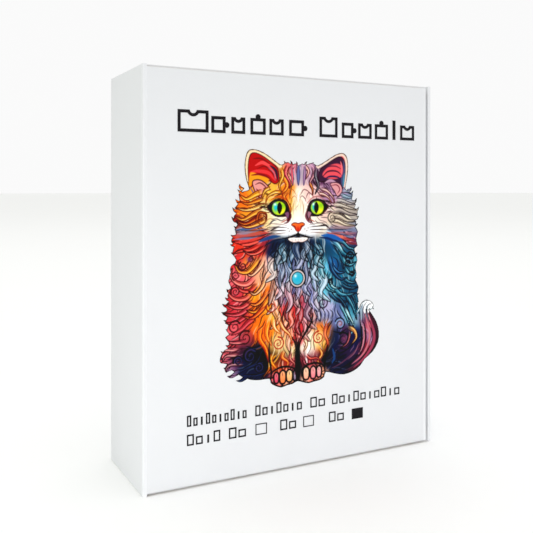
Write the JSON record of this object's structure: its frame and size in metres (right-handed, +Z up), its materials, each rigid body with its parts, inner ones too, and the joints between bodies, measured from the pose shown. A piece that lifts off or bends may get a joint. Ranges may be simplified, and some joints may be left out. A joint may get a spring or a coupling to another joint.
{
  "type": "boxed jigsaw puzzle",
  "caption": "Upright white folding carton with a picture of a cat on its hinged front; inside are a picture card and a cat-shaped wooden jigsaw puzzle of interlocking pieces.",
  "frame": {"origin": "middle of the carton's footprint, on the surface it stands on", "axes": "+X to the right across the printed front, -Y out of the printed front, +Y towards the back, +Z up along the carton's height"},
  "size_m": [0.143, 0.047, 0.17],
  "materials": {
    "white_board": "satin white liner",
    "kraft_board": "matt natural kraft",
    "picture_ink": "printed picture in many colours",
    "black_ink": "printed black",
    "card_paper": "coated card",
    "puzzle_wood": "printed plywood with laser-cut edges"
  },
  "bodies": {
    "tray": {"base_panel": "white_board", "hinge_wall": "white_board", "tuck_wall": "white_board", "end_wall_bottom": "white_board", "end_wall_top": "white_board", "end_liner_bottom": "kraft_board", "end_liner_top": "kraft_board", "end_roll_bottom": "white_board", "end_roll_top": "white_board", "corner_flaps_bottom": "kraft_board", "corner_flaps_top": "kraft_board", "lock_tabs": "kraft_board", "lid_crease": "white_board"},
    "lid": {"lid_panel": "white_board", "tuck_crease": "white_board", "picture_print": "picture_ink", "title_marks": "black_ink", "caption_marks": "black_ink", "tick_boxes": "black_ink"},
    "tuck": {"tuck_flap": "white_board"},
    "card": {"picture_card": "card_paper"},
    "puzzle": {"puzzle_row_01": "puzzle_wood", "puzzle_row_02": "puzzle_wood", "puzzle_row_03": "puzzle_wood", "puzzle_row_04": "puzzle_wood", "puzzle_row_05": "puzzle_wood", "puzzle_row_06": "puzzle_wood", "puzzle_row_07": "puzzle_wood", "puzzle_row_08": "puzzle_wood", "puzzle_row_09": "puzzle_wood", "puzzle_row_10": "puzzle_wood", "puzzle_row_11": "puzzle_wood", "puzzle_row_12": "puzzle_wood", "puzzle_row_13": "puzzle_wood", "piece_heart": "puzzle_wood", "piece_star": "puzzle_wood", "piece_moon": "puzzle_wood", "piece_flower": "puzzle_wood", "piece_fish": "puzzle_wood"}
  },
  "joints": [
    {"name": "lid_hinge", "type": "hinge", "parent": "tray", "child": "lid", "pos_m": [-0.07075, -0.02265, 0.085], "axis": [0, 0, -1], "range_deg": [0, 180]},
    {"name": "tuck_fold", "type": "hinge", "parent": "lid", "child": "tuck", "pos_m": [0.06825, -0.02265, 0.085], "axis": [0, 0, 1], "range_deg": [0, 37]},
    {"name": "card_slide", "type": "slide", "parent": "tray", "child": "card", "axis": [0, -1, 0], "range_m": [0, 0.142]},
    {"name": "puzzle_slide", "type": "slide", "parent": "tray", "child": "puzzle", "axis": [0, -1, 0], "range_m": [0, 0.095]}
  ],
  "couplings": [
    {"joint": "tuck_fold", "follows": "lid_hinge", "ratio": 0.2},
    {"joint": "card_slide", "follows": "lid_hinge", "m_per_rad": 0.045},
    {"joint": "puzzle_slide", "follows": "lid_hinge", "m_per_rad": 0.03}
  ]
}
